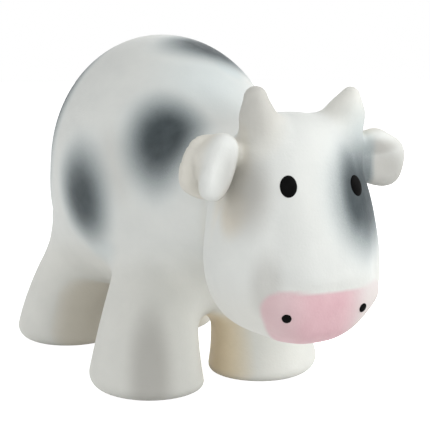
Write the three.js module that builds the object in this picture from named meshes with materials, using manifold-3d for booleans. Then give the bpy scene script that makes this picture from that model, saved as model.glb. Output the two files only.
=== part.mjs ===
// Rubber cow teether: a hollow natural-rubber cow with a ball rattle loose in its belly.
// Millimetres. +X is forward, +Y is the cow's left, +Z is up, and the soles stand on z = 0.

import * as THREE from 'three';
import { mergeVertices } from 'three/addons/utils/BufferGeometryUtils.js';
import Module from 'manifold-3d';

const wasm = await Module();
wasm.setup();

// Rubber skin, and the gap kept between neighbouring pieces
const WALL = 3;
const CLEARANCE = 0.3;

// Trunk, an egg measured from its own centre
const BELLY_HEIGHT = 16.6;
const TRUNK_REAR = 34;
const TRUNK_FRONT = 36;
const TRUNK_SIDE = 28.3;
const TRUNK_RISE = 34;
const TRUNK_DROP = 34.2;
const TRUNK_POWER = 2;

// Brisket, the full chest between the front legs, set forward of the trunk's centre
const BRISKET_FORWARD = 20;
const BRISKET_HALF_LENGTH = 12;
const BRISKET_SIDE = 12;
const BRISKET_HALF_HEIGHT = 12.5;
const BRISKET_SAG = 1;
const BRISKET_POWER = 2.3;

// Neck, an egg from inside the shoulders into the back of the head, bored through along X
const NECK_LENGTH = 10.5;
const NECK_FORWARD = 28;
const NECK_ABOVE_HEAD_CENTRE = 5.6;
const NECK_HALF_LENGTH = 27;
const NECK_SIDE = 18;
const NECK_RISE = 16.5;
const NECK_DROP = 19;
const NECK_POWER = 2.3;
const NECK_BORE_RADIUS = 9;

// Head, a pear measured from its own centre
const CHIN_HEIGHT = 20;
const HEAD_REAR = 16;
const HEAD_FRONT = 12.2;
const HEAD_SIDE = 18.2;
const HEAD_RISE = 23.8;
const HEAD_DROP = 23.4;
const HEAD_POWER = 2.5;
const HEAD_TAPER = -0.26;

// Bridge of the nose, a long bulge on the front of the head that leans back as it rises
const BRIDGE_PROUD = 2.6;
const BRIDGE_DEPTH = 9.4;
const BRIDGE_SIDE = 11.8;
const BRIDGE_ABOVE_CHIN = 15.8;
const BRIDGE_RISE = 22;
const BRIDGE_DROP = 4.4;
const BRIDGE_POWER = 3;
const BRIDGE_LEAN = -0.1;

// Muzzle, the pink pad under the bridge, narrower and further back at the bottom
const MUZZLE_PROUD = 1.6;
const MUZZLE_DEPTH = 6.4;
const MUZZLE_SIDE = 12.2;
const MUZZLE_ABOVE_CHIN = 5.8;
const MUZZLE_RISE = 6.8;
const MUZZLE_DROP = 5.8;
const MUZZLE_POWER = 2.8;
const MUZZLE_TAPER = 0.4;
const MUZZLE_LEAN = 0.22;

// Legs, cones with a rounded sole edge that lean in as they rise and run into the trunk over a fillet
const FOOT_RADIUS = 14.4;
const FOOT_EDGE = 4.2;
const FOOT_SPREAD = 16.7;
const LEG_FLARE = 1.6;
const LEG_REACH_INTO_TRUNK = 22;
const FRONT_FOOT_FORWARD = 23.9;
const FRONT_LEG_TOP_RADIUS = 10.2;
const FRONT_LEG_LEAN_BACK = 7.8;
const FRONT_LEG_LEAN_IN = 9.6;
const FRONT_LEG_FILLET = 9;
const REAR_FOOT_BACK = 29.6;
const REAR_LEG_TOP_RADIUS = 9.8;
const REAR_LEG_LEAN_FORWARD = 16;
const REAR_LEG_LEAN_IN = 8;
const REAR_LEG_FILLET = 14;
const FILLET_SINK = 0.5;

// Horns, round cones from inside the crown of the head out to the tip
const HORN_ROOT_FORWARD = 1.8;
const HORN_ROOT_SIDE = 9.8;
const HORN_ROOT_BELOW_CROWN = 6.2;
const HORN_ROOT_RADIUS = 6;
const HORN_TIP_FORWARD = 3.4;
const HORN_TIP_SIDE = 12.2;
const HORN_TIP_ABOVE_CROWN = 5.5;
const HORN_TIP_RADIUS = 2.5;

// Ears, leaves that droop from the sides of the head, dished in front and hollow along the lower edge
const EAR_FORWARD = 2.2;
const EAR_OUT = 5.2;
const EAR_ABOVE_HEAD_CENTRE = 13;
const EAR_HALF_LENGTH = 7.8;
const EAR_HALF_WIDTH = 6.1;
const EAR_THICKNESS = 8;
const EAR_DROOP_DEGREES = 40;
const EAR_POWER = 2.2;
const EAR_HOLLOW = { back: 0.8, out: 6, halfGap: 1.3, halfLength: 6.5, halfWidth: 5 };
const EAR_DISH = { depth: 1, out: 1, halfLength: 5.6, halfWidth: 4.2 };

// Tail, moulded against the rump and ending in a tuft
const TAIL_ABOVE_TRUNK_CENTRE = 7.2;
const TAIL_HALF_LENGTH = 13;
const TAIL_RADIUS = 2.6;
const TAIL_POWER = 2.4;
const TAIL_LEAN_DEGREES = 3;
const TUFT_SIDE = 4;
const TUFT_HALF_LENGTH = 6;

// Drops of thick black paint for eyes and nostrils
const EYE_SIDE = 8.3;
const EYE_ABOVE_HEAD_CENTRE = 9.4;
const EYE_HALF_WIDTH = 2;
const EYE_HALF_HEIGHT = 2.6;
const NOSTRIL_SIDE = 9.3;
const NOSTRIL_ABOVE_MUZZLE_CENTRE = 1.2;
const NOSTRIL_RADIUS = 1.1;
const PAINT_PROUD = 0.6;
const PAINT_SINK = 1.5;

// Plug in the belly, and the rattle that rests on it
const PLUG_RADIUS = 7;
const CAPSULE_RADIUS = 12;
const CAPSULE_WALL = 1.8;
const CAPSULE_LAP = 2;
const BEAD_RADIUS = 2.5;
const BEAD_COUNT = 4;

// Fineness of the faceted forms
const ROUND_SIDES = 20;
const LEG_SIDES = 36;
const LEG_STEPS = 20;
const ARC_STEPS = 4;
const FILLET_STEPS = 16;
const SMALL_DETAIL = 2;
const MIDDLE_DETAIL = 3;
const LARGE_DETAIL = 4;

// Places that follow from those sizes
const TRUNK_HEIGHT = BELLY_HEIGHT + TRUNK_DROP;
const HEAD_HEIGHT = CHIN_HEIGHT + HEAD_DROP;
const HEAD_FORWARD = TRUNK_FRONT + NECK_LENGTH + HEAD_REAR;
const FACE_FORWARD = HEAD_FORWARD + HEAD_FRONT;
const CROWN_HEIGHT = HEAD_HEIGHT + HEAD_RISE;
const NECK_HEIGHT = HEAD_HEIGHT + NECK_ABOVE_HEAD_CENTRE;
const EYE_HEIGHT = HEAD_HEIGHT + EYE_ABOVE_HEAD_CENTRE;
const EAR_HEIGHT = HEAD_HEIGHT + EAR_ABOVE_HEAD_CENTRE;
const MUZZLE_HEIGHT = CHIN_HEIGHT + MUZZLE_ABOVE_CHIN;
const NOSTRIL_HEIGHT = MUZZLE_HEIGHT + NOSTRIL_ABOVE_MUZZLE_CENTRE;

const TRUNK = {
  centre: [0, 0, TRUNK_HEIGHT],
  rear: TRUNK_REAR,
  front: TRUNK_FRONT,
  side: TRUNK_SIDE,
  rise: TRUNK_RISE,
  drop: TRUNK_DROP,
  power: TRUNK_POWER,
  detail: 6,
};
const BRISKET = {
  centre: [BRISKET_FORWARD, 0, BELLY_HEIGHT - BRISKET_SAG + BRISKET_HALF_HEIGHT],
  rear: BRISKET_HALF_LENGTH,
  front: BRISKET_HALF_LENGTH,
  side: BRISKET_SIDE,
  rise: BRISKET_HALF_HEIGHT,
  drop: BRISKET_HALF_HEIGHT,
  power: BRISKET_POWER,
  detail: SMALL_DETAIL,
};
const NECK = {
  centre: [NECK_FORWARD, 0, NECK_HEIGHT],
  rear: NECK_HALF_LENGTH,
  front: NECK_HALF_LENGTH,
  side: NECK_SIDE,
  rise: NECK_RISE,
  drop: NECK_DROP,
  power: NECK_POWER,
  detail: LARGE_DETAIL,
};
const HEAD = {
  centre: [HEAD_FORWARD, 0, HEAD_HEIGHT],
  rear: HEAD_REAR,
  front: HEAD_FRONT,
  side: HEAD_SIDE,
  rise: HEAD_RISE,
  drop: HEAD_DROP,
  power: HEAD_POWER,
  taper: HEAD_TAPER,
  detail: 5,
};
const BRIDGE = {
  centre: [FACE_FORWARD + BRIDGE_PROUD - BRIDGE_DEPTH, 0, CHIN_HEIGHT + BRIDGE_ABOVE_CHIN],
  rear: BRIDGE_DEPTH,
  front: BRIDGE_DEPTH,
  side: BRIDGE_SIDE,
  rise: BRIDGE_RISE,
  drop: BRIDGE_DROP,
  power: BRIDGE_POWER,
  lean: BRIDGE_LEAN,
  detail: LARGE_DETAIL,
};
const MUZZLE = {
  centre: [FACE_FORWARD + MUZZLE_PROUD - MUZZLE_DEPTH, 0, MUZZLE_HEIGHT],
  rear: MUZZLE_DEPTH,
  front: MUZZLE_DEPTH,
  side: MUZZLE_SIDE,
  rise: MUZZLE_RISE,
  drop: MUZZLE_DROP,
  power: MUZZLE_POWER,
  taper: MUZZLE_TAPER,
  lean: MUZZLE_LEAN,
  detail: LARGE_DETAIL,
};

// A closed solid from a geometry, with its faces turned outwards
function solid(geometry) {
  const bare = geometry.clone();
  bare.deleteAttribute('normal');
  bare.deleteAttribute('uv');
  const merged = mergeVertices(bare);
  const corners = merged.index.array;
  const triangles = [];
  for (let i = 0; i < corners.length; i += 3) {
    const [a, b, c] = corners.slice(i, i + 3);
    if (a !== b && b !== c && c !== a) triangles.push([a, b, c]);
  }
  const at = (i) => new THREE.Vector3().fromBufferAttribute(merged.attributes.position, i);
  const volume = triangles.reduce((sum, [a, b, c]) => sum + at(a).dot(at(b).cross(at(c))), 0);
  const outward = volume < 0 ? triangles.map(([a, b, c]) => [a, c, b]) : triangles;
  return new wasm.Manifold(new wasm.Mesh({
    numProp: 3,
    vertProperties: new Float32Array(merged.attributes.position.array),
    triVerts: new Uint32Array(outward.flat()),
  }));
}

function geometryOf(body) {
  const mesh = body.getMesh();
  const geometry = new THREE.BufferGeometry();
  geometry.setAttribute('position', new THREE.BufferAttribute(new Float32Array(mesh.vertProperties), 3));
  geometry.setIndex(new THREE.BufferAttribute(new Uint32Array(mesh.triVerts), 1));
  geometry.computeVertexNormals();
  return geometry;
}

const mirrored = (geometry) => geometry.clone().scale(1, -1, 1);

// Cutting along a thin edge can leave flakes beside the piece itself
function largest(body) {
  return body.decompose().reduce((most, flake) => (flake.volume() > most.volume() ? flake : most));
}

// An egg: a ball pushed out to half sizes that differ on each side of its centre.
// A power of 2 gives ellipses, a higher power squarer shoulders, a taper changes the width upwards,
// and a lean moves the form forward as it rises.
function egg(form, grow = 0) {
  const { centre, rear, front, side, rise, drop, power = 2, taper = 0, lean = 0, detail } = form;
  const geometry = new THREE.IcosahedronGeometry(1, detail);
  const place = geometry.attributes.position;
  const point = new THREE.Vector3();
  for (let i = 0; i < place.count; i += 1) {
    point.fromBufferAttribute(place, i);
    const reach = [point.x, point.y, point.z].reduce((sum, value) => sum + Math.abs(value) ** power, 0);
    point.multiplyScalar(reach ** (-1 / power));
    const long = (point.x < 0 ? rear : front) + grow;
    const wide = side * (1 + taper * point.z) + grow;
    const tall = (point.z < 0 ? drop : rise) + grow;
    place.setXYZ(i, point.x * long + lean * point.z * tall, point.y * wide, point.z * tall);
  }
  return geometry.translate(...centre);
}

// A height on an egg, from -1 at its lowest point to 1 at its highest, and the egg's half width there
const riseOn = (form, height) => (
  (height - form.centre[2]) / (height < form.centre[2] ? form.drop : form.rise)
);
const taperOn = (form, height) => form.side * (1 + (form.taper ?? 0) * riseOn(form, height));

// How far to the side an egg reaches at a height
function sideOf(form, height) {
  const left = 1 - Math.abs(riseOn(form, height)) ** form.power;
  return taperOn(form, height) * Math.max(left, 0) ** (1 / form.power);
}

// How far forward an egg's surface stands at a side and a height
function frontOf(form, side, height) {
  const across = side / taperOn(form, height);
  const left = 1 - Math.abs(riseOn(form, height)) ** form.power - Math.abs(across) ** form.power;
  const leant = (form.lean ?? 0) * (height - form.centre[2]);
  return form.centre[0] + leant + form.front * Math.max(left, 0) ** (1 / form.power);
}

// How far a point stands outside an upright egg, along the line from the egg's centre
function outOf(form, point) {
  const [x, y, z] = point.map((value, axis) => value - form.centre[axis]);
  const shares = [
    x / (x < 0 ? form.rear : form.front),
    y / form.side,
    z / (z < 0 ? form.drop : form.rise),
  ];
  const size = shares.reduce((sum, share) => sum + Math.abs(share) ** form.power, 0) ** (1 / form.power);
  return Math.hypot(x, y, z) * (1 - 1 / size);
}

// Distance to two forms that run together over a fillet, from the distances to each
function filleted(first, second, fillet) {
  return Math.min(first, second) - Math.max(fillet - Math.abs(first - second), 0) ** 2 / (4 * fillet);
}

// A round form turned about Z from [radius, height] pairs that start and end on the axis
function turned(profile, sides = ROUND_SIDES) {
  const points = profile.map(([radius, height]) => new THREE.Vector2(radius, height));
  return new THREE.LatheGeometry(points, sides).rotateX(Math.PI / 2);
}

// Points along an arc in a turned profile, in degrees from straight out
function arc([radius, height], size, from, to) {
  return Array.from({ length: ARC_STEPS + 1 }, (_, i) => {
    const angle = THREE.MathUtils.degToRad(from + ((to - from) * i) / ARC_STEPS);
    return [Math.max(radius + size * Math.cos(angle), 0), height + size * Math.sin(angle)];
  });
}

// The trunk with its neck and brisket, full, so that it can also cut its neighbours
function trunkForm(grow) {
  return solid(egg(TRUNK, grow)).add(solid(egg(BRISKET, grow))).add(solid(egg(NECK, grow)));
}

function headForm(grow) {
  return solid(egg(HEAD, grow)).add(solid(egg(BRIDGE, grow)));
}

function neckBore() {
  return solid(new THREE.CylinderGeometry(NECK_BORE_RADIUS, NECK_BORE_RADIUS, HEAD_FORWARD, ROUND_SIDES)
    .rotateZ(Math.PI / 2)
    .translate(HEAD_FORWARD / 2, 0, NECK_HEIGHT));
}

function plugHole(radius) {
  return solid(new THREE.CylinderGeometry(radius, radius, TRUNK_HEIGHT, ROUND_SIDES)
    .rotateX(Math.PI / 2)
    .translate(0, 0, TRUNK_HEIGHT / 2));
}

const trunkCavity = solid(egg({ ...TRUNK, detail: MIDDLE_DETAIL }, -WALL));
const headCavity = solid(egg({ ...HEAD, detail: MIDDLE_DETAIL }, -WALL));
const trunkCutter = trunkForm(CLEARANCE);
const headCutter = headForm(CLEARANCE);
const muzzleCutter = solid(egg(MUZZLE, CLEARANCE));

function trunkShell() {
  return trunkForm(0)
    .subtract(trunkCavity)
    .subtract(neckBore())
    .subtract(plugHole(PLUG_RADIUS))
    .subtract(headCutter);
}

function headShell() {
  return headForm(0).subtract(headCavity).subtract(neckBore());
}

const FRONT_LEG = {
  foot: FRONT_FOOT_FORWARD,
  topRadius: FRONT_LEG_TOP_RADIUS,
  leanForward: -FRONT_LEG_LEAN_BACK,
  leanIn: FRONT_LEG_LEAN_IN,
  fillet: FRONT_LEG_FILLET,
};
const REAR_LEG = {
  foot: -REAR_FOOT_BACK,
  topRadius: REAR_LEG_TOP_RADIUS,
  leanForward: REAR_LEG_LEAN_FORWARD,
  leanIn: REAR_LEG_LEAN_IN,
  fillet: REAR_LEG_FILLET,
};

// A leg's radius falls from the foot to the top, and its axis curves over as it rises.
// Above the top of its axis it is rounded, and near the trunk it spreads to fill the fillet.
function leg({ foot, topRadius, leanForward, leanIn, fillet }) {
  const top = BELLY_HEIGHT + LEG_REACH_INTO_TRUNK;
  const shareAt = (height) => Math.min(height / top, 1);
  const radiusAt = (height) => topRadius + (FOOT_RADIUS - topRadius) * (1 - shareAt(height)) ** LEG_FLARE;

  function spreadAt(axis, across, height) {
    const radius = radiusAt(height);
    let [within, beyond] = [0, radius + fillet];
    for (let i = 0; i < FILLET_STEPS; i += 1) {
      const reach = (within + beyond) / 2;
      const point = [axis[0] + across[0] * reach, axis[1] + across[1] * reach, height];
      const fromTrunk = outOf(TRUNK, point) + FILLET_SINK;
      const fromLeg = Math.hypot(reach, Math.max(height - top, 0)) - radius;
      if (filleted(fromTrunk, fromLeg, fillet) < 0) within = reach;
      else beyond = reach;
    }
    return within;
  }

  const shankTop = top + fillet;
  const shank = Array.from({ length: LEG_STEPS }, (_, i) => {
    const height = FOOT_EDGE + ((shankTop - FOOT_EDGE) * (i + 1)) / LEG_STEPS;
    return [radiusAt(height), height];
  });
  const edge = arc([radiusAt(FOOT_EDGE) - FOOT_EDGE, FOOT_EDGE], FOOT_EDGE, -90, 0);
  const geometry = turned([[0, 0], ...edge, ...shank, [0, shankTop]], LEG_SIDES);
  const place = geometry.attributes.position;
  for (let i = 0; i < place.count; i += 1) {
    const [x, y, height] = [place.getX(i), place.getY(i), place.getZ(i)];
    const share = shareAt(height) ** 2;
    const axis = [foot + leanForward * share, FOOT_SPREAD - leanIn * share];
    const radius = Math.hypot(x, y);
    const inEdge = radius === 0 || height <= FOOT_EDGE;
    const spread = inEdge ? 1 : spreadAt(axis, [x / radius, y / radius], height) / radius;
    place.setXY(i, axis[0] + x * spread, axis[1] + y * spread);
  }
  return geometry;
}

// Each leg keeps to its own quarter of the belly
const LEG_PARTING = (FRONT_LEG.foot + FRONT_LEG.leanForward + REAR_LEG.foot + REAR_LEG.leanForward) / 2;

function quartered(geometry, forward) {
  return geometryOf(solid(geometry)
    .trimByPlane([0, 1, 0], CLEARANCE / 2)
    .trimByPlane([forward, 0, 0], forward * LEG_PARTING + CLEARANCE / 2));
}

function horn(grow) {
  const root = new THREE.Vector3(
    HEAD_FORWARD + HORN_ROOT_FORWARD,
    HORN_ROOT_SIDE,
    CROWN_HEIGHT - HORN_ROOT_BELOW_CROWN,
  );
  const tip = new THREE.Vector3(
    HEAD_FORWARD + HORN_TIP_FORWARD,
    HORN_TIP_SIDE,
    CROWN_HEIGHT + HORN_TIP_ABOVE_CROWN,
  );
  const along = tip.sub(root);
  const tipCentre = [0, along.length() - HORN_TIP_RADIUS];
  const slope = THREE.MathUtils.radToDeg(Math.asin((HORN_ROOT_RADIUS - HORN_TIP_RADIUS) / tipCentre[1]));
  const cone = turned([
    [0, 0],
    [HORN_ROOT_RADIUS + grow, 0],
    ...arc(tipCentre, HORN_TIP_RADIUS + grow, slope, 90),
  ]);
  const upright = new THREE.Vector3(0, 0, 1);
  const turn = new THREE.Quaternion().setFromUnitVectors(upright, along.normalize());
  return cone.applyQuaternion(turn).translate(root.x, root.y, root.z);
}

// An ear is made pointing along +Y about its middle, then drooped and set on the side of the head
function ear() {
  const leaf = {
    centre: [0, 0, 0],
    rear: EAR_THICKNESS / 2,
    front: EAR_THICKNESS / 2,
    side: EAR_HALF_LENGTH,
    rise: EAR_HALF_WIDTH,
    drop: EAR_HALF_WIDTH,
    power: EAR_POWER,
    detail: LARGE_DETAIL,
  };
  const hollow = {
    centre: [-EAR_HOLLOW.back, EAR_HOLLOW.out, 0],
    rear: EAR_HOLLOW.halfGap,
    front: EAR_HOLLOW.halfGap,
    side: EAR_HOLLOW.halfLength,
    rise: EAR_HOLLOW.halfWidth,
    drop: EAR_HOLLOW.halfWidth,
    power: EAR_POWER,
    detail: SMALL_DETAIL,
  };
  const dish = {
    centre: [EAR_THICKNESS / 2 + EAR_DISH.depth, EAR_DISH.out, 0],
    rear: 2 * EAR_DISH.depth,
    front: 2 * EAR_DISH.depth,
    side: EAR_DISH.halfLength,
    rise: EAR_DISH.halfWidth,
    drop: EAR_DISH.halfWidth,
    power: EAR_POWER,
    detail: SMALL_DETAIL,
  };
  const body = solid(egg(leaf)).subtract(solid(egg(hollow))).subtract(solid(egg(dish)));
  return geometryOf(body)
    .rotateX(THREE.MathUtils.degToRad(-EAR_DROOP_DEGREES))
    .translate(HEAD_FORWARD + EAR_FORWARD, sideOf(HEAD, EAR_HEIGHT) + EAR_OUT, EAR_HEIGHT);
}

// The tail is made upright about its middle, then leaned to lie along the rump
function tail() {
  const rod = {
    centre: [0, 0, 0],
    rear: TAIL_RADIUS,
    front: TAIL_RADIUS,
    side: TAIL_RADIUS,
    rise: TAIL_HALF_LENGTH,
    drop: TAIL_HALF_LENGTH,
    power: TAIL_POWER,
    detail: SMALL_DETAIL,
  };
  const tuft = {
    centre: [0, 0, -TAIL_HALF_LENGTH],
    rear: TAIL_RADIUS,
    front: TAIL_RADIUS,
    side: TUFT_SIDE,
    rise: TUFT_HALF_LENGTH,
    drop: TUFT_HALF_LENGTH,
    detail: SMALL_DETAIL,
  };
  return geometryOf(solid(egg(rod)).add(solid(egg(tuft))))
    .rotateY(THREE.MathUtils.degToRad(TAIL_LEAN_DEGREES))
    .translate(-TRUNK_REAR, 0, TRUNK_HEIGHT + TAIL_ABOVE_TRUNK_CENTRE);
}

// A drop of paint stands a little proud of the forms that carry it
function paintDrop(carriers, side, height, halfWidth, halfHeight) {
  const surface = Math.max(...carriers.map((form) => frontOf(form, side, height)));
  return egg({
    centre: [surface, side, height],
    rear: PAINT_SINK,
    front: PAINT_PROUD + CLEARANCE,
    side: halfWidth,
    rise: halfHeight,
    drop: halfHeight,
    detail: SMALL_DETAIL,
  });
}

// The capsule's lower cup carries an inner ring that the upper cup laps over
const CAPSULE_BORE = CAPSULE_RADIUS - CAPSULE_WALL;
const LAP_RADIUS = CAPSULE_RADIUS - (CAPSULE_WALL + CLEARANCE) / 2;

function lowerCup() {
  return turned([
    ...arc([0, 0], CAPSULE_RADIUS, -90, 0),
    [LAP_RADIUS, 0],
    [LAP_RADIUS, CAPSULE_LAP],
    [CAPSULE_BORE, CAPSULE_LAP],
    ...arc([0, 0], CAPSULE_BORE, 0, -90),
  ]);
}

function upperCup() {
  const lapTop = CAPSULE_LAP + CLEARANCE;
  const rimAngle = THREE.MathUtils.radToDeg(Math.asin(CLEARANCE / CAPSULE_RADIUS));
  const boreAngle = THREE.MathUtils.radToDeg(Math.asin(lapTop / CAPSULE_BORE));
  return turned([
    ...arc([0, 0], CAPSULE_BORE, 90, boreAngle),
    [LAP_RADIUS + CLEARANCE, lapTop],
    [LAP_RADIUS + CLEARANCE, CLEARANCE],
    ...arc([0, 0], CAPSULE_RADIUS, rimAngle, 90),
  ]);
}

const finish = (color, roughness, metalness = 0) => () => (
  new THREE.MeshStandardMaterial({ color, roughness, metalness })
);
const whiteRubber = finish(0xe6e6e2, 0.6);
const pinkRubber = finish(0xdcb8be, 0.6);
const blackPaint = finish(0x101112, 0.35);
const capsulePlastic = finish(0xd9dbd6, 0.4);
const beadSteel = finish(0xb8babc, 0.3, 1);

function piece(name, geometry, material) {
  const mesh = new THREE.Mesh(geometry, material());
  mesh.name = name;
  return mesh;
}

const cow = new THREE.Group();
cow.add(piece('trunk_shell', geometryOf(trunkShell()), whiteRubber));
cow.add(piece('head_shell', geometryOf(headShell()), whiteRubber));
cow.add(piece('muzzle', geometryOf(solid(egg(MUZZLE)).subtract(headCutter)), pinkRubber));
cow.add(piece('tail', geometryOf(solid(tail()).subtract(trunkCutter)), whiteRubber));

// The plug is a round of the belly wall itself
const plug = solid(egg(TRUNK)).subtract(trunkCavity).intersect(plugHole(PLUG_RADIUS - CLEARANCE));
cow.add(piece('belly_plug', geometryOf(plug), whiteRubber));

// What comes in pairs is made on the left and mirrored to the right, each cut by its larger neighbours
const eye = paintDrop([HEAD, BRIDGE], EYE_SIDE, EYE_HEIGHT, EYE_HALF_WIDTH, EYE_HALF_HEIGHT);
const nostril = paintDrop([MUZZLE], NOSTRIL_SIDE, NOSTRIL_HEIGHT, NOSTRIL_RADIUS, NOSTRIL_RADIUS);
for (const [hand, sided] of [['left', (geometry) => geometry], ['right', mirrored]]) {
  const hornCutter = solid(sided(horn(CLEARANCE)));
  const pair = (name, geometry, cutters, material) => {
    const body = cutters.reduce((rest, cutter) => rest.subtract(cutter), solid(sided(geometry)));
    cow.add(piece(`${name}_${hand}`, geometryOf(largest(body)), material));
  };
  pair('leg_front', quartered(leg(FRONT_LEG), 1), [trunkCutter], whiteRubber);
  pair('leg_rear', quartered(leg(REAR_LEG), -1), [trunkCutter], whiteRubber);
  pair('horn', horn(0), [headCutter], whiteRubber);
  pair('ear', ear(), [headCutter, hornCutter], whiteRubber);
  pair('eye', eye, [headCutter], blackPaint);
  pair('nostril', nostril, [headCutter, muzzleCutter], blackPaint);
}

// The capsule rests on the plug, and the beads lie in a ring at the bottom of the capsule
const rattle = new THREE.Group();
rattle.position.z = BELLY_HEIGHT + WALL + CLEARANCE + CAPSULE_RADIUS;
rattle.add(piece('rattle_cup_lower', geometryOf(solid(lowerCup())), capsulePlastic));
rattle.add(piece('rattle_cup_upper', geometryOf(solid(upperCup())), capsulePlastic));
const beadRing = (BEAD_RADIUS + CLEARANCE) / Math.sin(Math.PI / BEAD_COUNT);
const beadReach = CAPSULE_BORE - BEAD_RADIUS - CLEARANCE;
for (let i = 0; i < BEAD_COUNT; i += 1) {
  const angle = (2 * Math.PI * (i + 0.5)) / BEAD_COUNT;
  const ball = new THREE.IcosahedronGeometry(BEAD_RADIUS, SMALL_DETAIL);
  const bead = piece(`rattle_bead_${i + 1}`, ball, beadSteel);
  bead.position.set(
    beadRing * Math.cos(angle),
    beadRing * Math.sin(angle),
    -Math.sqrt(beadReach ** 2 - beadRing ** 2),
  );
  rattle.add(bead);
}
cow.add(rattle);

// The origin lies on the floor, midway between the rearmost and foremost points
const box = new THREE.Box3().setFromObject(cow);
cow.position.x = -(box.min.x + box.max.x) / 2;

export default cow;
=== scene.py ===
"""Rubber cow teether: its painted rubber skin, paint drops and rattle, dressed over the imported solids.

Lengths in the forms below are millimetres from under the trunk's centre; the scene itself is in metres.
"""
import math

import bpy
import numpy as np
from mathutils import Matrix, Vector


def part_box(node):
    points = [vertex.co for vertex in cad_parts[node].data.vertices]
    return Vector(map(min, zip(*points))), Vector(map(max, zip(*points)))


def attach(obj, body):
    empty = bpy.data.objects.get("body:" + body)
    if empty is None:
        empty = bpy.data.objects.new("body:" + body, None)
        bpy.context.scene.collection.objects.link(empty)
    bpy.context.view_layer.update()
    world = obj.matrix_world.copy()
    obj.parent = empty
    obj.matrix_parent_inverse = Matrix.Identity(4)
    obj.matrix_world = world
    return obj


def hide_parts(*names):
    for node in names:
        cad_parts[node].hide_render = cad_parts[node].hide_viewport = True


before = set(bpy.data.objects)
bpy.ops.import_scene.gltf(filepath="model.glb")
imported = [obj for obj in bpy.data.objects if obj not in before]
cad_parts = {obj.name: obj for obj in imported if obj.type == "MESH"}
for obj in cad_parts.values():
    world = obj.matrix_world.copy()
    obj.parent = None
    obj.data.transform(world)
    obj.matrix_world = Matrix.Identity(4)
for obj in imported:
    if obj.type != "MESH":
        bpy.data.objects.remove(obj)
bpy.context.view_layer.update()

MM = 0.001
TINY = 1e-6

# The trunk's centre lies over the belly plug
PLUG_BOX = [np.array(corner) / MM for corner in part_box("belly_plug")]
TRUNK_X = (PLUG_BOX[0][0] + PLUG_BOX[1][0]) / 2

# Forms: a centre, half sizes towards -X -Y -Z and towards +X +Y +Z, and a power
TRUNK = ((0, 0, 50.8), (34, 28.3, 34.2), (36, 28.3, 34), 2)
BRISKET = ((20, 0, 28.1), (12, 12, 12.5), (12, 12, 12.5), 2.3)
NECK = ((28, 0, 49), (27, 18, 19), (27, 18, 16.5), 2.3)
HEAD = ((62.5, 0, 43.4), (16, 18.2, 23.4), (12.2, 18.2, 23.8), 2.5)
BRIDGE = ((67.9, 0.8, 35.8), (9.4, 11.8, 4.4), (9.4, 11.8, 22), 3)
MUZZLE = ((69.9, 0.5, 25.8), (6.4, 11.5, 5.8), (6.4, 11.5, 6.8), 2.8)
TAIL = ((-34, 0, 58), (2.6, 2.6, 13), (2.6, 2.6, 13), 2.4)
TUFT = ((-34.6, 0, 45), (2.6, 4, 6), (2.6, 4, 6), 2)

# How the forms of the head widen, move forward and move to the cow's left as they rise
HEAD_RISE = {"taper": -0.26, "sway": -0.05}
BRIDGE_RISE = {"lean": -0.1}
MUZZLE_RISE = {"taper": 0.4, "lean": 0.22, "sway": 0.2}
TAPER_LIMIT = 1.2
# Distances to tapered and flared forms are held back by this share, since their slope is steeper
STEEP_SHARE = 0.9

# Legs, flared to a flat sole. Its edge is rounder outside, with no jump at the leg's middle
FOOT_RADIUS = 14.4
FOOT_EDGE = 3.2
FOOT_EDGE_OUTWARD = 2
FOOT_MIDDLE = 1
LEG_FLARE = 1.6
LEG_HEIGHT = 38.6
FRONT_LEG = {"foot": (23.9, 16.7), "top_radius": 9.8, "lean": (-7.6, -10)}
REAR_LEG = {"foot": (-29.6, 16.7), "top_radius": 9.8, "lean": (15.6, -7)}

# Horns and the folds of the ears: a start, a bend and an end, with a radius at each
HORN = ((64.3, 9.6, 61), (65.2, 10.8, 66.4), (65.8, 11.6, 70.2))
HORN_RADII = {"right": (4.6, 3.3, 2.4), "left": (5.2, 3.8, 2.1)}
EAR_FOLD = ((62.3, 14.4, 59.7), (64.6, 19.1, 60.4), (64.2, 22.3, 58.9))
EAR_FOLD_RADII = (2, 2.6, 1.9)

# Leaves of the ears: a centre, a droop in degrees and half sizes through, along and across the leaf
LEAF_POWER = 2.6
EAR_LEAVES = {
    "right": {
        "lobe": ((66.4, 20.4, 56.7), 70, (1.9, 6.7, 3.5)),
        "flap": ((62.2, 21.2, 56.6), 66, (1.4, 6.3, 5.2)),
        "web": ((64.2, 20, 57), 66, (2.4, 5, 3.9)),
        "dish": ((70, 20.7, 55.6), 70, (2.2, 5.2, 2.2)),
    },
    "left": {
        "lobe": ((65.2, 19.9, 56.7), 13, (2.2, 6.5, 5.7)),
        "flap": ((62.8, 20.2, 56.9), 16, (1.4, 6.2, 5.2)),
        "web": ((64.2, 20, 57), 20, (2.4, 5, 4.5)),
        "dish": ((70.3, 19.6, 55.9), 13, (3.4, 5.3, 4.6)),
    },
}

# How softly the forms run into each other
FRONT_LEG_FILLET = 5.5
REAR_LEG_FILLET = 13
BRISKET_FILLET = 5
NECK_FILLET = 7
BRIDGE_FILLET = 2
MUZZLE_FILLET = 3.4
EAR_FILLET = 1.6
FOLD_FILLET = 1.6
FOLD_BEND_FILLET = 1
LEAF_FILLET = 0.6
DISH_EDGE = 0.5
HEAD_FILLET = 2.2
TAIL_FILLET = 1.2
TUFT_FILLET = 2
HORN_BEND_FILLET = 1.5
# Fillets of the right and left horn, and the span across the middle where one goes over to the other
HORN_FILLETS = (3.6, 5.5)
HORN_FILLET_SPAN = (-4, 4)

# The hollow inside, and the plug in the belly
WALL = 3
INNER_EDGE = 0.5
NECK_BORE = 9
PLUG_RADIUS = 7
PLUG_GAP = 0.3
PLUG_EDGE = 0.8


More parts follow.
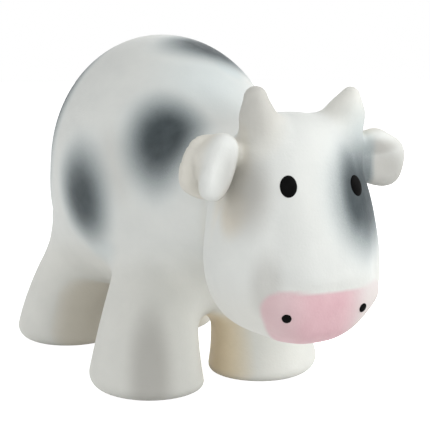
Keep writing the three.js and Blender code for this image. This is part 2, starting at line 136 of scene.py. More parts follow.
def shrunk(form):
    """The same form inside the skin's wall."""
    centre, low, high, power = form
    return centre, [size - WALL for size in low], [size - WALL for size in high], power


def blob(p, form):
    """Distance to an egg whose half sizes differ on each side of its centre."""
    centre, low, high, power = form
    shares, reaches = [], []
    for axis in range(3):
        offset = p[axis] - centre[axis]
        reach = np.where(offset < 0, np.float32(low[axis]), np.float32(high[axis]))
        shares.append(np.abs(offset) / reach + np.float32(TINY))
        reaches.append(reach)
    size = sum(share ** power for share in shares) ** (1 / power)
    slope = sum((share ** (power - 1) / reach) ** 2 for share, reach in zip(shares, reaches))
    return (size - 1) / (np.sqrt(slope) * size ** (1 - power))


def pear(p, form, taper=0, lean=0, sway=0):
    """An egg that widens with height by a taper, and moves forward with it by a lean and left by a sway."""
    middle, rise = form[0][1], p[2] - form[0][2]
    height = np.clip(rise / form[2][2], -TAPER_LIMIT, TAPER_LIMIT)
    y = middle + (p[1] - middle - sway * rise) / (1 + taper * height)
    return STEEP_SHARE * blob([p[0] - lean * rise, y, p[2]], form)


def soft_min(a, b, softness):
    """The nearer of two distances, with a fillet where they are alike."""
    share = np.clip(0.5 + 0.5 * (b - a) / softness, 0, 1)
    return b * (1 - share) + a * share - softness * share * (1 - share)


def soft_max(a, b, softness):
    """The farther of two distances, with a round edge where they are alike."""
    return -soft_min(-a, -b, softness)


def mirrored(p):
    """The points with those on the cow's right moved over to its left."""
    return [p[0], np.abs(p[1]), p[2]]


def round_cone(p, start, end, start_radius, end_radius):
    """Distance to the hull of two balls."""
    along = np.array(end, float) - np.array(start, float)
    length = float(np.linalg.norm(along))
    along /= length
    offset = [p[axis] - start[axis] for axis in range(3)]
    travel = sum(offset[axis] * along[axis] for axis in range(3))
    out = np.sqrt(np.maximum(sum(o * o for o in offset) - travel * travel, 0))
    sine = (start_radius - end_radius) / length
    cosine = math.sqrt(1 - sine * sine)
    side = out * cosine + travel * sine - start_radius
    first = np.hypot(out, travel) - start_radius
    last = np.hypot(out, travel - length) - end_radius
    foot = travel - out * sine / cosine
    return np.where(foot < 0, first, np.where(foot > length, last, side))


def bent_cone(p, places, radii, fillet):
    """Two round cones in a row."""
    start, bend, end = places
    lower = round_cone(p, start, bend, *radii[:2])
    upper = round_cone(p, bend, end, *radii[1:])
    return soft_min(lower, upper, fillet)


def leg(p, foot, top_radius, lean):
    """A flared leg that leans more and more as it rises, with a flat sole."""
    share = np.clip(p[2] / LEG_HEIGHT, 0, 1)
    dx = p[0] - foot[0] - lean[0] * share ** 2
    dy = p[1] - foot[1] - lean[1] * share ** 2
    out = np.hypot(dx, dy)
    radius = top_radius + (FOOT_RADIUS - top_radius) * (1 - share) ** LEG_FLARE
    side = STEEP_SHARE * (out - radius)
    base = -p[2]
    edge = FOOT_EDGE + FOOT_EDGE_OUTWARD * dy / (out + FOOT_MIDDLE)
    corner = np.hypot(np.maximum(side + edge, 0), np.maximum(base + edge, 0)) - edge
    low = np.where((side > -edge) & (base > -edge), corner, np.maximum(side, base))
    cap = np.sqrt(out ** 2 + np.maximum(p[2] - LEG_HEIGHT, 0) ** 2) - top_radius
    return np.where(p[2] > LEG_HEIGHT, cap, low)


def leaf(p, centre, droop, halves):
    """A flat egg turned about the X axis, so that it droops outwards."""
    cosine, sine = math.cos(math.radians(droop)), math.sin(math.radians(droop))
    x, y, z = (p[axis] - centre[axis] for axis in range(3))
    return blob([x, cosine * y - sine * z, sine * y + cosine * z], ((0, 0, 0), halves, halves, LEAF_POWER))


def ear(p, leaves):
    """A folded ear: a dished front lobe and a back flap hang from the fold, with a web between them."""
    fold = bent_cone(p, EAR_FOLD, EAR_FOLD_RADII, FOLD_BEND_FILLET)
    lobe = soft_max(leaf(p, *leaves["lobe"]), -leaf(p, *leaves["dish"]), DISH_EDGE)
    leaf_pair = soft_min(lobe, leaf(p, *leaves["flap"]), LEAF_FILLET)
    hung = soft_min(leaf_pair, leaf(p, *leaves["web"]), LEAF_FILLET)
    return soft_min(hung, fold, FOLD_FILLET)


def ears(p):
    """Both ears; each hangs a little differently."""
    m = mirrored(p)
    return np.where(p[1] < 0, ear(m, EAR_LEAVES["right"]), ear(m, EAR_LEAVES["left"]))


def horns(p):
    """Both horns; the left one is thicker at its root."""
    m = mirrored(p)
    right, left = (bent_cone(m, HORN, HORN_RADII[hand], HORN_BEND_FILLET) for hand in ("right", "left"))
    return np.where(p[1] < 0, right, left)


def body_field(p):
    """Trunk, legs, brisket, neck and tail."""
    m = mirrored(p)
    field = soft_min(blob(p, TRUNK), leg(m, **FRONT_LEG), FRONT_LEG_FILLET)
    field = soft_min(field, leg(m, **REAR_LEG), REAR_LEG_FILLET)
    field = soft_min(field, blob(p, BRISKET), BRISKET_FILLET)
    field = soft_min(field, blob(p, NECK), NECK_FILLET)
    tail = soft_min(blob(p, TAIL), blob(p, TUFT), TUFT_FILLET)
    return soft_min(field, tail, TAIL_FILLET)


def head_field(p):
    """The head with its bridge, horns and ears, without the muzzle."""
    field = soft_min(pear(p, HEAD, **HEAD_RISE), pear(p, BRIDGE, **BRIDGE_RISE), BRIDGE_FILLET)
    field = soft_min(field, horns(p), np.interp(p[1], HORN_FILLET_SPAN, HORN_FILLETS))
    return soft_min(field, ears(p), EAR_FILLET)


def muzzle_field(p):
    """The muzzle alone."""
    return pear(p, MUZZLE, **MUZZLE_RISE)


def outer_field(p):
    """The outside of the whole casting."""
    head = soft_min(head_field(p), muzzle_field(p), MUZZLE_FILLET)
    return soft_min(body_field(p), head, HEAD_FILLET)


def hollow_field(p):
    """The space inside the skin: belly, neck passage and head."""
    belly = blob(p, shrunk(TRUNK))
    head = pear(p, shrunk(HEAD), **HEAD_RISE)
    passage = np.maximum(
        np.hypot(p[1], p[2] - NECK[0][2]) - NECK_BORE,
        np.maximum(-p[0], p[0] - HEAD[0][0]),
    )
    return np.minimum(np.minimum(belly, head), passage)


def plug_hole_field(p, radius):
    """A round hole straight down from the trunk's centre."""
    return np.maximum(np.hypot(p[0], p[1]) - radius, p[2] - TRUNK[0][2])


def skin_field(p):
    """The wall of the casting, with the hole for the plug."""
    wall = soft_max(outer_field(p), -hollow_field(p), INNER_EDGE)
    return soft_max(wall, -plug_hole_field(p, PLUG_RADIUS), PLUG_EDGE)


def plug_field(p):
    """The piece of the belly's wall that fills the hole, short of its rim by a gap."""
    wall = soft_max(blob(p, TRUNK), -blob(p, shrunk(TRUNK)), PLUG_EDGE)
    return soft_max(wall, plug_hole_field(p, PLUG_RADIUS - PLUG_GAP), PLUG_EDGE)


# Meshes from the fields

SLOPE_REACH = 0.05
LEAST_STEEP = 0.2
SETTLING_STEPS = 2
CELL_CORNERS = [(i, j, k) for i in (0, 1) for j in (0, 1) for k in (0, 1)]


def gradient(field, points):
    """Value and slope of a field at points, one row each."""
    value = field(list(points.T))
    slope = np.zeros_like(points)
    for axis in range(3):
        moved = points.copy()
        moved[:, axis] += SLOPE_REACH
        slope[:, axis] = (field(list(moved.T)) - value) / SLOPE_REACH
    return value, slope


def onto_surface(field, points, steps, limit):
    """Moves points onto a field's zero surface, by no more than about a limit in each step."""
    for _ in range(steps):
        value, slope = gradient(field, points)
        steep = np.maximum((slope ** 2).sum(1), LEAST_STEEP)
        points = points - (np.clip(value, -limit, limit) / steep)[:, None] * slope
    return points


def crossing_points(values, cells):
    """The mean of the places where the surface cuts each cell's edges, counted in cells."""
    total, hits = np.zeros((len(cells), 3)), np.zeros(len(cells))
    for start in CELL_CORNERS:
        for axis in range(3):
            if start[axis]:
                continue
            end = list(start)
            end[axis] = 1
            a = values[tuple((cells + start).T)]
            b = values[tuple((cells + end).T)]
            cut = (a < 0) != (b < 0)
            share = np.where(cut, a / np.where(cut, a - b, 1), 0)
            place = np.array(start, float) + np.eye(3)[axis] * share[:, None]
            total += np.where(cut[:, None], place, 0)
            hits += cut
    return cells + total / hits[:, None]


def crossing_quads(inside, number):
    """An outward quad between the four cells around each grid edge that the surface cuts."""
    quads = []
    for axis in range(3):
        side = np.moveaxis(inside, axis, 0)
        numbers = np.moveaxis(number, axis, 0)
        near = side[:-1, 1:-1, 1:-1]
        flips = near != side[1:, 1:-1, 1:-1]
        i, j, k = np.argwhere(flips).T
        ring = [numbers[i, j + a, k + b] for a, b in ((0, 0), (1, 0), (1, 1), (0, 1))]
        quad = np.stack(ring, 1)
        # Moving the Y axis to the front turns the ring the other way
        outward = near[flips] if axis != 1 else ~near[flips]
        quad[~outward] = quad[~outward][:, ::-1]
        quads.append(quad)
    return np.concatenate(quads)


def skinned(field, low, high, step):
    """Quads over a field's zero surface: one vertex in each cell that the surface crosses."""
    low = np.array(low, float)
    counts = np.ceil((np.array(high) - low) / step).astype(int) + 1
    steps = [np.float32(step) * np.arange(count, dtype=np.float32) for count in counts]
    axes = [np.float32(start) + travel for start, travel in zip(low, steps)]
    values = field(np.meshgrid(*axes, indexing="ij"))
    inside = values < 0
    shape = tuple(count - 1 for count in inside.shape)
    filled = np.zeros(shape, int)
    for corner in CELL_CORNERS:
        filled += inside[tuple(slice(start, start + size) for start, size in zip(corner, shape))]
    crossed = (filled > 0) & (filled < len(CELL_CORNERS))
    number = np.full(shape, -1)
    number[crossed] = np.arange(crossed.sum())
    points = crossing_points(values, np.argwhere(crossed)) * step + low
    return onto_surface(field, points, SETTLING_STEPS, step), crossing_quads(inside, number)


def to_scene(points):
    """Points in the forms' millimetres as points in the scene's metres."""
    return (np.asarray(points) + [TRUNK_X, 0, 0]) * MM


def mesh_piece(name, points, faces, material):
    """A smooth mesh piece from points in the forms' millimetres, riding on the skin's body."""
    mesh = bpy.data.meshes.new(name)
    mesh.from_pydata(to_scene(points).tolist(), [], [list(map(int, face)) for face in faces])
    mesh.update()
    mesh.polygons.foreach_set("use_smooth", [True] * len(mesh.polygons))
    mesh.materials.append(material)
    piece = bpy.data.objects.new(name, mesh)
    bpy.context.scene.collection.objects.link(piece)
    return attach(piece, "skin")


# Paint on the skin

# Clouds of airbrushed paint and of painted shade: shares of their half sizes where they start to fade and
# where they end
CLOUD_CORE = 0.4
CLOUD_REACH = 1.55
# Dark spots: a centre, and half sizes at half strength
SPOTS = {
    "flank_right": ((32.2, -15.8, 60.7), (9.4, 8.2, 11)),
    "haunch_right": ((11.3, -28.8, 43.8), (9.5, 5.9, 13)),
    "back": ((14.7, 7.6, 82), (7.3, 11.8, 8.1)),
    "eye": ((77.6, 11.4, 50.5), (18, 9, 10.5)),
    "eye_core": ((75, 7.5, 51), (8, 5, 9.5)),
    "rump_right": ((-13.6, -16.6, 69), (8, 13, 21)),
    "flank_left": ((29, 18, 57), (9, 8, 10)),
    "haunch_left": ((-4, 28, 60), (10, 6, 9)),
    "rump_left": ((-30, 17, 38), (8, 8, 9)),
}
# Blue-grey overspray: how far it reaches past each spot, and clouds of it on their own with their strength
HAZE_SPREAD = 1.15
HAZE_CLOUDS = {
    "shoulders": (((32, -1, 76), (14, 14, 11)), 0.5),
    "brow_left": (((72, 13, 58), (10, 7, 10)), 0.8),
    "back_edge": (((22, 7.5, 77), (5, 5, 5)), 0.7),
    "haunch_low": (((11, -23.5, 33), (6, 5, 5)), 0.5),
}
# Spots and overspray keep off the ears: they fade this near to an ear, this far from the cow's middle
EAR_MASK = 1.5
EAR_MASK_SIDES = (16, 18)
# Painted shade in grey clouds: a centre, half sizes and the strength in the core. They darken the skin
# beside the right ear, down the right front leg, by the bridge, on the right horn, under the ears' folds
# and on the right shoulder and flank
SHADE_CLOUDS = {
    "temple_right": (((67.4, -15.6, 51.4), (6, 5, 7.6)), 0.74),
    "leg_front_right": (((35.5, -21, 4), (4.6, 4.6, 28)), 0.6),
    "bridge_right": (((72, -12.8, 33.4), (3, 3, 6)), 0.42),
    "horn_right": (((65.6, -11.4, 67.5), (5, 5, 7)), 0.6),
    "ear_right": (((63.5, -24, 56), (3, 4, 6)), 0.25),
    "ear_left": (((67, 19.5, 53.5), (6, 9, 5.4)), 0.75),
    "ear_left_fold": (((67.3, 17.5, 59.3), (3, 6, 1.9)), 0.8),
    "shoulder_right": (((36, -3, 65.5), (9, 8, 7)), 0.27),
    "flank_right": (((21.3, -22.8, 53.7), (7, 5, 8)), 0.3),
}
# Painted shade on the soles and on their rims up to these heights, where the feet stand on the floor
SOLE_SHADE = 0.4
SOLE_HEIGHTS = (0.4, 2)
# Pink starts where the muzzle stands out from the head, and climbs a little towards the right corner
PINK_EDGE = (-0.4, 0.6)
PINK_CLIMB = 0.6
PINK_CLIMB_SIDES = (2, 13)
# Where the pink thins out towards the cow's left and right, and how much
PINK_THIN_LEFT = (2, 10, 0.75)
PINK_THIN_RIGHT = (4, 11, 0.25)
# Crevices are looked for this far from the skin, and go from white to bare between these shares
CROWDING_REACHES = (3, 7, 14)
BARE_CROWDING = (0.25, 0.85)
# Crevices above these heights got more of the white
SPRAYED_HEIGHTS = (19, 29)
SPRAYED_SHARE = 0.7
# Below these heights the legs are thinly painted and bare where they face each other, and the rear legs
# also carry painted shade there
LEG_HEIGHTS = (25, 37)
INNER_FACINGS = {"rear": (0.64, 0.98), "far": (0.5, 0.98), "near": (0.92, 1)}
INNER_REAR_BARE = 0.55
INNER_REAR_SHADE = 0.32
# Thin coats of white: how much rubber shows, how far around horns and ears, and where behind the ears
THIN_COATS = {"legs": 0.12, "horns": 0.16, "ears": 0.3}
THIN_REACH = 3
THIN_EAR_DEPTHS = (64.5, 67.5)
# Rubber that shows under the right ear: a centre and half sizes, and how much of it shows
BARE_UNDER_EAR = ((66, -17.4, 48.5), (3.4, 3.4, 5))
BARE_UNDER_EAR_SHARE = 0.6
# What lies deeper than this is the unpainted inside of the skin
INNER_DEPTH = 1


def ramp(value, low, high):
    """A smooth step from 0 at a low value to 1 at a high one."""
    share = np.clip((value - low) / (high - low), 0, 1)
    return share * share * (3 - 2 * share)


def crowding(points, normals):
    """How far other parts of the skin close in over each point: 0 in the open, 1 in a crevice."""
    closed = [1 - outer_field(list((points + normals * reach).T)) / reach for reach in CROWDING_REACHES]
    return np.clip(np.mean(closed, axis=0), 0, 1)


def cloud(points, centre, halves, stretch=1):
    """A soft cloud, from 1 in its core to 0, for airbrushed paint and for painted shade."""
    out = np.linalg.norm((points - centre) / halves, axis=1)
    return 1 - ramp(out / stretch, CLOUD_CORE, CLOUD_REACH)


def inner_legs(points, normals):
    """Strength of the inner side of the rear legs and of the front legs, where less white was sprayed and,
    on the rear legs, where painted shade is laid.
    """
    x, y, z = points.T
    ahead, aside = normals[:, :2].T / np.linalg.norm(normals[:, :2], axis=1).clip(TINY)
    low = 1 - ramp(z, *LEG_HEIGHTS)
    rear = np.where(x < 0, ramp(ahead, *INNER_FACINGS["rear"]), 0)
    far = np.where((x > 0) & (y > 0), ramp(-aside, *INNER_FACINGS["far"]), 0)
    near = np.where((x > 0) & (y < 0), ramp(aside, *INNER_FACINGS["near"]), 0)
    return rear * low, np.maximum(far, near) * low


def bare_rubber(points, normals):
    """Strength of the unpainted rubber's tan: in crevices, inside the legs and where the white is thin."""
    x, y, z = points.T
    sprayed = SPRAYED_SHARE * ramp(z, *SPRAYED_HEIGHTS)
    crevices = ramp(crowding(points, normals), *BARE_CROWDING) * (1 - sprayed)
    rear, front = inner_legs(points, normals)
    near_horn = 1 - ramp(horns([x, y, z]), 0, THIN_REACH)
    behind_ear = (1 - ramp(ears([x, y, z]), 0, THIN_REACH)) * (1 - ramp(x, *THIN_EAR_DEPTHS))
    thin = [
        THIN_COATS["legs"] * (1 - ramp(z, *LEG_HEIGHTS)),
        THIN_COATS["horns"] * near_horn,
        THIN_COATS["ears"] * behind_ear,
        BARE_UNDER_EAR_SHARE * cloud(points, *BARE_UNDER_EAR),
    ]
    return np.max([crevices, INNER_REAR_BARE * rear, front, *thin], axis=0)


def pink_paint(points):
    """Strength of the pink of the muzzle."""
    x, y, z = points.T
    climb = PINK_CLIMB * ramp(-y, *PINK_CLIMB_SIDES)
    pink = ramp(head_field([x, y, z]) - muzzle_field([x, y, z]) + climb, *PINK_EDGE)
    for side, (start, end, share) in ((y, PINK_THIN_LEFT), (-y, PINK_THIN_RIGHT)):
        pink *= 1 - share * ramp(side, start, end)
    return pink


def coats(points, normals):
    """Strength of each coat at each point: spots, pink, bare rubber and overspray."""
    x, y, z = points.T
    spots = np.max([cloud(points, *spot) for spot in SPOTS.values()], axis=0)
    hazes = [cloud(points, *spot, HAZE_SPREAD) for spot in SPOTS.values()]
    hazes += [share * cloud(points, *haze) for haze, share in HAZE_CLOUDS.values()]
    off_ears = np.maximum(ramp(ears([x, y, z]), 0, EAR_MASK), 1 - ramp(np.abs(y), *EAR_MASK_SIDES))
    airbrushed = (spots * off_ears, pink_paint(points), np.max(hazes, axis=0) * off_ears)
    inner = outer_field([x, y, z]) < -INNER_DEPTH
    spots, pink, haze = (np.where(inner, 0, coat) for coat in airbrushed)
    return np.stack([spots, pink, np.where(inner, 1, bare_rubber(points, normals)), haze], axis=1)


def painted_shade(points, normals):
    """Strength of the painted shade at each point: grey clouds, the soles and the rear legs' inner sides.
    """
    rear, _ = inner_legs(points, normals)
    # Painted shade along the soles
    soles = 1 - ramp(points[:, 2], *SOLE_HEIGHTS)
    clouds = [share * cloud(points, *shade) for shade, share in SHADE_CLOUDS.values()]
    return np.max([INNER_REAR_SHADE * rear, SOLE_SHADE * soles, *clouds], axis=0)


# Materials

# Colours, most of them a pair that the paint wanders between
WHITE = ((0.745, 0.762, 0.735), (0.71, 0.728, 0.705))
BARE = ((0.80, 0.70, 0.53), (0.75, 0.66, 0.49))
PINK = ((0.705, 0.475, 0.505), (0.66, 0.415, 0.455))
SPOT = ((0.044, 0.056, 0.061), (0.060, 0.075, 0.081))
# The grey of the painted shade
SHADE_GREY = (0.40, 0.39, 0.36)
HAZE = (0.45, 0.56, 0.60)
HAZE_SHARE = 0.6
# Sizes of the grain in the skin's colours and gloss, and of the droplets at the edge of a spot
GRAINS = {"white": 7, "bare": 4, "pink": 5, "spot": 3, "gloss": 2, "droplets": 0.25}
DROPLET_SHARES = (-0.18, 0.18)
SKIN_ROUGHNESS = (0.5, 0.62)
SKIN_SPECULAR = 0.2
# Bumps: a size and a height each
SKIN_BUMPS = ((0.45, 0.015), (3.5, 0.05))
GRAIN_DETAIL = 3
GRAIN_RANGE = (0.3, 0.7)
UNIT = (0, 1)


def principled(name):
    """A new material, its node tree and its shader."""
    material = bpy.data.materials.new(name)
    material.use_nodes = True
    tree = material.node_tree
    return material, tree, tree.nodes["Principled BSDF"]


def feed(tree, socket, value):
    """Links a socket to another, or sets it to a number or colour."""
    if isinstance(value, bpy.types.NodeSocket):
        tree.links.new(value, socket)
    elif isinstance(value, tuple):
        socket.default_value = (*value, 1)
    else:
        socket.default_value = value


def attribute(tree, name):
    """A node that reads a named attribute of the mesh."""
    node = tree.nodes.new("ShaderNodeAttribute")
    node.attribute_name = name
    return node


def spread(tree, value, source, target):
    """Carries a value over from one range to another."""
    node = tree.nodes.new("ShaderNodeMapRange")
    feed(tree, node.inputs["Value"], value)
    for name, limits in (("From", source), ("To", target)):
        feed(tree, node.inputs[f"{name} Min"], limits[0])
        feed(tree, node.inputs[f"{name} Max"], limits[1])
    return node.outputs["Result"]


def grain(tree, size):
    """Noise with features of a size in millimetres, from 0 to 1."""
    place = tree.nodes.new("ShaderNodeTexCoord")
    noise = tree.nodes.new("ShaderNodeTexNoise")
    noise.inputs["Scale"].default_value = 1 / (size * MM)
    noise.inputs["Detail"].default_value = GRAIN_DETAIL
    tree.links.new(place.outputs["Object"], noise.inputs["Vector"])
    return spread(tree, noise.outputs["Fac"], GRAIN_RANGE, UNIT)


def combine(tree, operation, a, b):
    """A sum, product or other operation on two values."""
    node = tree.nodes.new("ShaderNodeMath")
    node.operation = operation
    feed(tree, node.inputs[0], a)
    feed(tree, node.inputs[1], b)
    return node.outputs[0]


def blended(tree, share, a, b):
    """Colour a going over to colour b as the share goes from 0 to 1."""
    node = tree.nodes.new("ShaderNodeMix")
    node.data_type = "RGBA"
    colour_sockets = [socket for socket in node.inputs if socket.type == "RGBA"]
    feed(tree, node.inputs["Factor"], share)
    feed(tree, colour_sockets[0], a)
    feed(tree, colour_sockets[1], b)
    return next(socket for socket in node.outputs if socket.type == "RGBA")


def bumped(tree, shader, layers):
    """Stacks noise bumps, each a size and a height in millimetres, onto a shader."""
    normal = None
    for size, height in layers:
        bump = tree.nodes.new("ShaderNodeBump")
        bump.inputs["Distance"].default_value = height * MM
        tree.links.new(grain(tree, size), bump.inputs["Height"])
        if normal:
            tree.links.new(normal, bump.inputs["Normal"])
        normal = bump.outputs["Normal"]
    tree.links.new(normal, shader.inputs["Normal"])


def skin_material():
    """Matt painted rubber: white, with bare rubber in its crevices, painted shade, airbrushed spots and a
    pink muzzle.
    """
    material, tree, shader = principled("skin_paint")
    coat = attribute(tree, "coats")
    shade = attribute(tree, "painted_shade")
    parts = tree.nodes.new("ShaderNodeSeparateColor")
    tree.links.new(coat.outputs["Color"], parts.inputs["Color"])
    spot, pink, bare = parts.outputs["Red"], parts.outputs["Green"], parts.outputs["Blue"]
    haze = combine(tree, "MULTIPLY", coat.outputs["Alpha"], HAZE_SHARE)

    colour = blended(tree, grain(tree, GRAINS["white"]), *WHITE)
    colour = blended(tree, bare, colour, blended(tree, grain(tree, GRAINS["bare"]), *BARE))
    # Painted shade darkens the white towards grey
    colour = blended(tree, shade.outputs["Fac"], colour, SHADE_GREY)
    colour = blended(tree, haze, colour, HAZE)
    # Fine droplets along the soft edge of a spot
    edge = combine(tree, "MULTIPLY", spot, combine(tree, "SUBTRACT", 1, spot))
    droplets = spread(tree, grain(tree, GRAINS["droplets"]), UNIT, DROPLET_SHARES)
    strength = combine(tree, "ADD", spot, combine(tree, "MULTIPLY", edge, droplets))
    colour = blended(tree, strength, colour, blended(tree, grain(tree, GRAINS["spot"]), *SPOT))
    colour = blended(tree, pink, colour, blended(tree, grain(tree, GRAINS["pink"]), *PINK))
    feed(tree, shader.inputs["Base Color"], colour)
    gloss = spread(tree, grain(tree, GRAINS["gloss"]), UNIT, SKIN_ROUGHNESS)
    feed(tree, shader.inputs["Roughness"], gloss)
    feed(tree, shader.inputs["Specular IOR Level"], SKIN_SPECULAR)
    bumped(tree, shader, SKIN_BUMPS)
    return material


def mottled(name, colours, size, roughness, bumps, metallic=0, specular=0.5):
    """One material whose colour and gloss wander between two values, in grains of a size."""
    material, tree, shader = principled(name)
    feed(tree, shader.inputs["Base Color"], blended(tree, grain(tree, size), *colours))
    feed(tree, shader.inputs["Roughness"], spread(tree, grain(tree, size / 2), UNIT, roughness))
    feed(tree, shader.inputs["Metallic"], metallic)
    feed(tree, shader.inputs["Specular IOR Level"], specular)
    bumped(tree, shader, bumps)
    return material


skin_paint = skin_material()
black_paint = mottled(
    "black_paint",
    colours=((0.002, 0.002, 0.002), (0.004, 0.004, 0.004)),
    size=1.2,
    roughness=(0.55, 0.65),
    bumps=((0.6, 0.02),),
    specular=0.03,
)
plug_rubber = mottled(
    "plug_rubber",
    colours=BARE,
    size=2.5,
    roughness=(0.5, 0.65),
    bumps=((0.45, 0.03), (2.5, 0.1)),
)
cup_plastic = mottled(
    "cup_plastic",
    colours=((0.78, 0.76, 0.70), (0.70, 0.68, 0.62)),
    size=3,
    roughness=(0.3, 0.45),
    bumps=((0.5, 0.015),),
)
bead_steel = mottled(
    "bead_steel",
    colours=((0.62, 0.62, 0.63), (0.50, 0.50, 0.52)),
    size=0.8,
    roughness=(0.18, 0.34),
    bumps=((0.3, 0.01),),
    metallic=1,
)


# Pieces

PAIRED_NODES = ("leg_front", "leg_rear", "horn", "ear")
SKIN_NODES = ["trunk_shell", "head_shell", "muzzle", "tail"]
SKIN_NODES += [f"{part}_{hand}" for part in PAIRED_NODES for hand in ("left", "right")]
# Boxes in which the skin and the plug are meshed, and the sizes of their cells
SKIN_LOW = (-46, -33, -2)
SKIN_HIGH = (80, 33, 88)
SKIN_STEP = 0.75
PLUG_LOW = (-8, -8, 15)
PLUG_HIGH = (8, 8, 24)
PLUG_STEP = 0.5


def skin_piece():
    """The whole casting as one mesh, with its paint as attributes."""
    points, quads = skinned(skin_field, SKIN_LOW, SKIN_HIGH, SKIN_STEP)
    skin = mesh_piece("skin", points, quads, skin_paint)
    _, normals = gradient(outer_field, points)
    normals /= np.linalg.norm(normals, axis=1)[:, None]
    paint = skin.data.attributes.new("coats", "FLOAT_COLOR", "POINT")
    paint.data.foreach_set("color", coats(points, normals).astype(np.float32).ravel())
    # The painted shade, as a strength at each point
    grey = skin.data.attributes.new("painted_shade", "FLOAT", "POINT")
    grey.data.foreach_set("value", painted_shade(points, normals).astype(np.float32))
    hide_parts(*SKIN_NODES)


def plug_piece():
    """The plug that closes the belly."""
    points, quads = skinned(plug_field, PLUG_LOW, PLUG_HIGH, PLUG_STEP)
    plug = mesh_piece("plug", points, quads, plug_rubber)
    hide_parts("belly_plug")


skin_piece()
plug_piece()

# Drops of black paint: how far to the cow's left and how high on the face, their half sizes, how far
# they stand out in their middle, and how deep they sink in
DROPS = {
    "eye_left": {"place": (7.6, 52.5), "halves": (1.8, 2.2), "proud": 0.5, "sink": 0.6},
    "eye_right": {"place": (-8.5, 53.1), "halves": (1.75, 2.2), "proud": 0.5, "sink": 0.6},
    "nostril_left": {"place": (8.1, 27.5), "halves": (1, 1), "proud": 0.35, "sink": 0.5},
    "nostril_right": {"place": (-9.6, 27), "halves": (1, 1), "proud": 0.35, "sink": 0.5},
}
DROP_RINGS = 8
DROP_SPOKES = 40
# Steps that bring a drop back to the face, steps that settle its points there, and the longest step
FACE_STEPS = 40
DROP_SETTLING_STEPS = 4
DROP_STEP = 1


def face_point(place):
    """The point of the face at a side and a height, found from ahead of it, and its normal."""
    point = np.array([[HEAD[0][0] + 2 * HEAD[2][0], *place]])
    for _ in range(FACE_STEPS):
        point[:, 0] -= np.clip(outer_field(list(point.T)), -DROP_STEP, DROP_STEP)
    _, normal = gradient(outer_field, point)
    return point, normal / np.linalg.norm(normal)


def disc_points():
    """Points of a round disc from its middle outwards: each a share of its radius and an angle."""
    rows = [(0, 0)]
    for ring in range(1, DROP_RINGS + 1):
        share = math.sin(0.5 * math.pi * ring / DROP_RINGS)
        rows += [(share, 2 * math.pi * spoke / DROP_SPOKES) for spoke in range(DROP_SPOKES)]
    return np.array(rows).T


def disc_faces():
    """Faces of the disc between its rings."""
    faces = []
    for ring in range(DROP_RINGS):
        for spoke in range(DROP_SPOKES):
            turn = (spoke + 1) % DROP_SPOKES
            outer = [1 + ring * DROP_SPOKES + spoke, 1 + ring * DROP_SPOKES + turn]
            within = [outer[1] - DROP_SPOKES, outer[0] - DROP_SPOKES] if ring else [0]
            faces.append([*outer, *within])
    return faces


def paint_drop(name, node, place, halves, proud, sink):
    """A thick drop of paint that follows the skin under it: a dome in front, closed behind."""
    middle, normal = face_point(place)
    across = np.cross((0, 0, 1), normal[0])
    across /= np.linalg.norm(across)
    upward = np.cross(normal[0], across)
    share, angle = disc_points()
    flat = middle + (halves[0] * share * np.cos(angle))[:, None] * across
    flat = flat + (halves[1] * share * np.sin(angle))[:, None] * upward
    base = onto_surface(outer_field, flat, DROP_SETTLING_STEPS, DROP_STEP)
    dome = np.sqrt(np.maximum(1 - share ** 2, 0))[:, None]
    front = base + normal * proud * dome
    back = base - normal * (sink * dome)
    # The back has its own points but for the rim
    count = len(base)
    inner = count - DROP_SPOKES
    behind = [i + count if i < inner else i for i in range(count)]
    faces = disc_faces()
    faces += [[behind[i] for i in face[::-1]] for face in faces]
    piece = mesh_piece(name, np.concatenate([front, back[:inner]]), faces, black_paint)
    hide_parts(node)


for node, drop in DROPS.items():
    part, hand = node.split("_")
    paint_drop(f"{part}_paint_{hand}", node, **drop)

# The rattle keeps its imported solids
BEADS = 4
for half in ("lower", "upper"):
    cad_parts[f"rattle_cup_{half}"].material_slots[0].material = cup_plastic
for bead in range(1, BEADS + 1):
    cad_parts[f"rattle_bead_{bead}"].material_slots[0].material = bead_steel

# Camera, light and floor: the camera's place and sensor are in millimetres, the rest in metres

CAMERA_PLACE = (236.1, -115.6, 75.5)
CAMERA_AZIMUTH = math.radians(29.1)
CAMERA_PITCH = math.radians(8.2)
CAMERA_NEAR = 0.01
FOCAL_PIXELS = 1000
IMAGE_PIXELS = 430
SENSOR = 36
# Level directions from the cow towards the camera and towards the right of the picture
NEARWARD = Vector((math.cos(CAMERA_AZIMUTH), -math.sin(CAMERA_AZIMUTH), 0))
RIGHTWARD = Vector((math.sin(CAMERA_AZIMUTH), math.cos(CAMERA_AZIMUTH), 0))
UPWARD = Vector((0, 0, 1))

# Soft boxes around the cow: degrees to the right of the camera and degrees up, with their power
LIGHT_AIM = Vector((0, 0, 0.045))
LIGHT_DISTANCE = 0.6
LIGHT_SIZE = 0.3
SOFT_BOXES = {
    "right": ((90, 32), 1.5),
    "right_front": ((45, 38), 1.1),
    "front": ((0, 4), 0.9),
    "left": ((270, 6), 1.1),
    "back": ((180, 32), 0.4),
}
AMBIENT = (0.33, 0.33, 0.33)
BACKDROP = (1, 1, 1)

FLOOR_HALF = 6
FLOOR_COLOUR = (0.85, 0.85, 0.85)
FLOOR_ROUGHNESS = 0.9
FLOOR_GLOW = 0.9


def placed(name, data, place, way):
    """A new object at a place, with its -Z axis turned to a direction."""
    item = bpy.data.objects.new(name, data)
    bpy.context.scene.collection.objects.link(item)
    item.location = place
    item.rotation_mode = "QUATERNION"
    item.rotation_quaternion = way.to_track_quat("-Z", "Y")
    return item


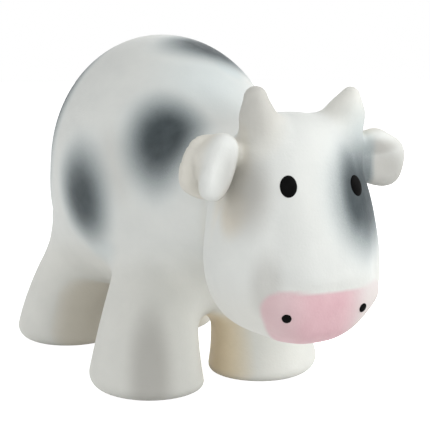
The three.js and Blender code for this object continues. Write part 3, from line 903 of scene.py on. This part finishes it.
def photo_camera():
    """A camera in the place that the photograph was taken from."""
    data = bpy.data.cameras.new("camera")
    data.sensor_width = SENSOR
    data.lens = SENSOR * FOCAL_PIXELS / IMAGE_PIXELS
    data.clip_start = CAMERA_NEAR
    forward = -NEARWARD * math.cos(CAMERA_PITCH) - UPWARD * math.sin(CAMERA_PITCH)
    bpy.context.scene.camera = placed("camera", data, Vector(to_scene(CAMERA_PLACE)), forward)


def soft_box(name, angles, watts):
    """A square lamp that looks at the cow."""
    turn, rise = map(math.radians, angles)
    level = NEARWARD * math.cos(turn) + RIGHTWARD * math.sin(turn)
    way = level * math.cos(rise) + UPWARD * math.sin(rise)
    data = bpy.data.lights.new(name, "AREA")
    data.size = LIGHT_SIZE
    data.energy = watts
    placed(name, data, LIGHT_AIM + way * LIGHT_DISTANCE, -way)


def looked_at(tree):
    """1 for light that reaches the camera straight, by a reflection or through glass."""
    path = tree.nodes.new("ShaderNodeLightPath")
    mirrored_or_through = combine(
        tree, "MAXIMUM", path.outputs["Is Glossy Ray"], path.outputs["Is Transmission Ray"]
    )
    return combine(tree, "MAXIMUM", path.outputs["Is Camera Ray"], mirrored_or_through)


def picked(tree, unseen, seen, output):
    """Shows one shader where it is looked at, and lights the scene by another."""
    mix = tree.nodes.new("ShaderNodeMixShader")
    tree.links.new(looked_at(tree), mix.inputs["Fac"])
    tree.links.new(unseen.outputs[0], mix.inputs[1])
    tree.links.new(seen.outputs[0], mix.inputs[2])
    tree.links.new(mix.outputs[0], tree.nodes[output].inputs["Surface"])


def studio_world():
    """A dim even light all around, in front of a white backdrop."""
    world = bpy.data.worlds.new("studio")
    bpy.context.scene.world = world
    world.use_nodes = True
    tree = world.node_tree
    ambient = tree.nodes["Background"]
    feed(tree, ambient.inputs["Color"], AMBIENT)
    backdrop = tree.nodes.new("ShaderNodeBackground")
    feed(tree, backdrop.inputs["Color"], BACKDROP)
    picked(tree, ambient, backdrop, "World Output")


def studio_floor():
    """A white floor that glows where it is looked at, so that it runs into the backdrop."""
    corners = [(-1, -1), (1, -1), (1, 1), (-1, 1)]
    mesh = bpy.data.meshes.new("floor")
    mesh.from_pydata([(x * FLOOR_HALF, y * FLOOR_HALF, 0) for x, y in corners], [], [(0, 1, 2, 3)])
    floor = bpy.data.objects.new("floor", mesh)
    bpy.context.scene.collection.objects.link(floor)
    material, tree, shader = principled("floor_white")
    feed(tree, shader.inputs["Base Color"], FLOOR_COLOUR)
    feed(tree, shader.inputs["Roughness"], FLOOR_ROUGHNESS)
    feed(tree, shader.inputs["Specular IOR Level"], 0)
    glow = tree.nodes.new("ShaderNodeEmission")
    feed(tree, glow.inputs["Strength"], FLOOR_GLOW)
    both = tree.nodes.new("ShaderNodeAddShader")
    tree.links.new(shader.outputs[0], both.inputs[0])
    tree.links.new(glow.outputs[0], both.inputs[1])
    picked(tree, shader, both, "Material Output")
    mesh.materials.append(material)


photo_camera()
for name, (angles, watts) in SOFT_BOXES.items():
    soft_box(name, angles, watts)
studio_world()
studio_floor()

bpy.context.scene.view_settings.view_transform = "Standard"
